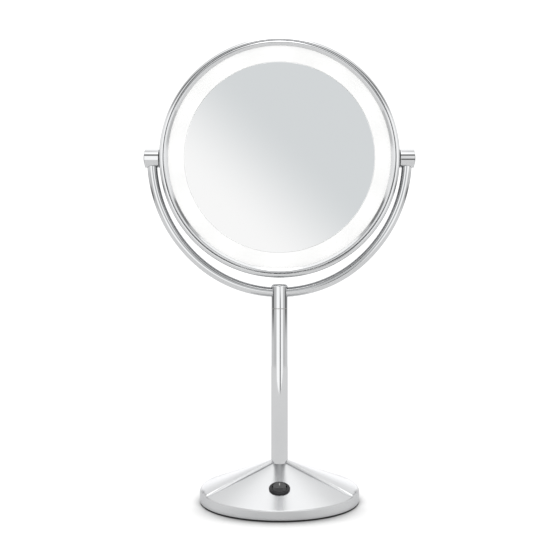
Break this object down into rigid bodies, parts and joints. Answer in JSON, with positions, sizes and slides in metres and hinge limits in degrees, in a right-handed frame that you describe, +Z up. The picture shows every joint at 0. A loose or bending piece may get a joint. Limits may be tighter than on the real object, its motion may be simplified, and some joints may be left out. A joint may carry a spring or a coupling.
{
  "type": "lighted vanity mirror",
  "caption": "Round double-sided mirror head with a lit ring, tilting in a tubular yoke on a swivel stem over a battery base with a sloped switch panel.",
  "frame": {"origin": "centre of the foot ring's underside, on the surface that the base stands on", "axes": "+Z up along the stem; -Y to the front, where the lit mirror and the switch panel face; +X to the right seen from behind, along the tilt axis"},
  "size_m": [0.2338, 0.1366, 0.3965],
  "materials": {
    "chrome_steel": "mirror polished chrome plate",
    "switch_black": "satin black nylon",
    "black_plastic": "fine textured black",
    "black_rubber": "matte",
    "plain_steel": "zinc plated",
    "ballast_iron": "painted grey",
    "cell_jacket": null,
    "nylon": "natural nylon",
    "white_moulding": "white reflector moulding",
    "opal": "opal, lit from behind",
    "mirror_glass": "silvered glass",
    "foam_tape": "double-sided foam tape",
    "circuit_board": "white lamp board",
    "lamp_body": "white lamp packages",
    "brass_tabs": "tinned brass",
    "lead_black": "black insulation",
    "lead_red": "red insulation"
  },
  "bodies": {
    "root": {"base_cover": "chrome_steel", "base_tray": "black_plastic", "foot_ring": "black_rubber", "ballast_ring": "ballast_iron", "base_screws": "plain_steel", "aa_cells": "cell_jacket", "contact_springs": "plain_steel", "contact_plates": "plain_steel", "switch_housing": "switch_black", "switch_terminals": "brass_tabs", "battery_lead": "lead_black", "switch_lead": "lead_red", "return_lead": "lead_black", "stem_tube": "chrome_steel", "stem_plug": "plain_steel", "stem_nipple": "plain_steel", "stem_washer": "plain_steel", "stem_nut": "plain_steel", "neck_bushing": "nylon", "stem_cable": "lead_black"},
    "rocker": {"switch_rocker": "switch_black"},
    "door": {"battery_door": "black_plastic"},
    "yoke": {"yoke_tube": "chrome_steel", "neck_tee": "chrome_steel", "swivel_stop_pin": "plain_steel", "spigot_clip": "plain_steel", "thrust_washer": "nylon", "yoke_cable": "lead_black", "left_knob": "chrome_steel", "right_knob": "chrome_steel", "left_knob_cap": "chrome_steel", "right_knob_cap": "chrome_steel"},
    "head": {"head_band": "chrome_steel", "front_bezel": "chrome_steel", "rear_bezel": "chrome_steel", "front_diffuser": "opal", "rear_diffuser": "opal", "plane_mirror": "mirror_glass", "magnifying_mirror": "mirror_glass", "mirror_carrier": "white_moulding", "led_board": "circuit_board", "front_leds": "lamp_body", "rear_leds": "lamp_body", "front_mirror_tape": "foam_tape", "rear_mirror_tape": "foam_tape", "head_cable": "lead_black", "left_pivot_pin": "plain_steel", "left_pivot_nut": "plain_steel", "left_pivot_washer": "plain_steel", "left_spacer": "black_plastic", "left_wave_washer": "plain_steel", "right_pivot_pin": "plain_steel", "right_pivot_nut": "plain_steel", "right_pivot_washer": "plain_steel", "right_spacer": "black_plastic", "right_wave_washer": "plain_steel"}
  },
  "joints": [
    {"name": "head_tilt", "type": "hinge", "parent": "yoke", "child": "head", "pos_m": [0, 0, 0.294], "axis": [1, 0, 0], "range_deg": [-180, 180]},
    {"name": "neck_swivel", "type": "hinge", "parent": "root", "child": "yoke", "pos_m": [0, 0, 0.165], "axis": [0, 0, 1], "range_deg": [-90, 90]},
    {"name": "rocker_tip", "type": "hinge", "parent": "root", "child": "rocker", "pos_m": [0, -0.04057, 0.01982], "axis": [1, 0, 0], "range_deg": [-16, 0]},
    {"name": "door_hinge", "type": "hinge", "parent": "root", "child": "door", "pos_m": [0, -0.0227, 0.0022], "axis": [1, 0, 0], "range_deg": [-100, 0]}
  ]
}
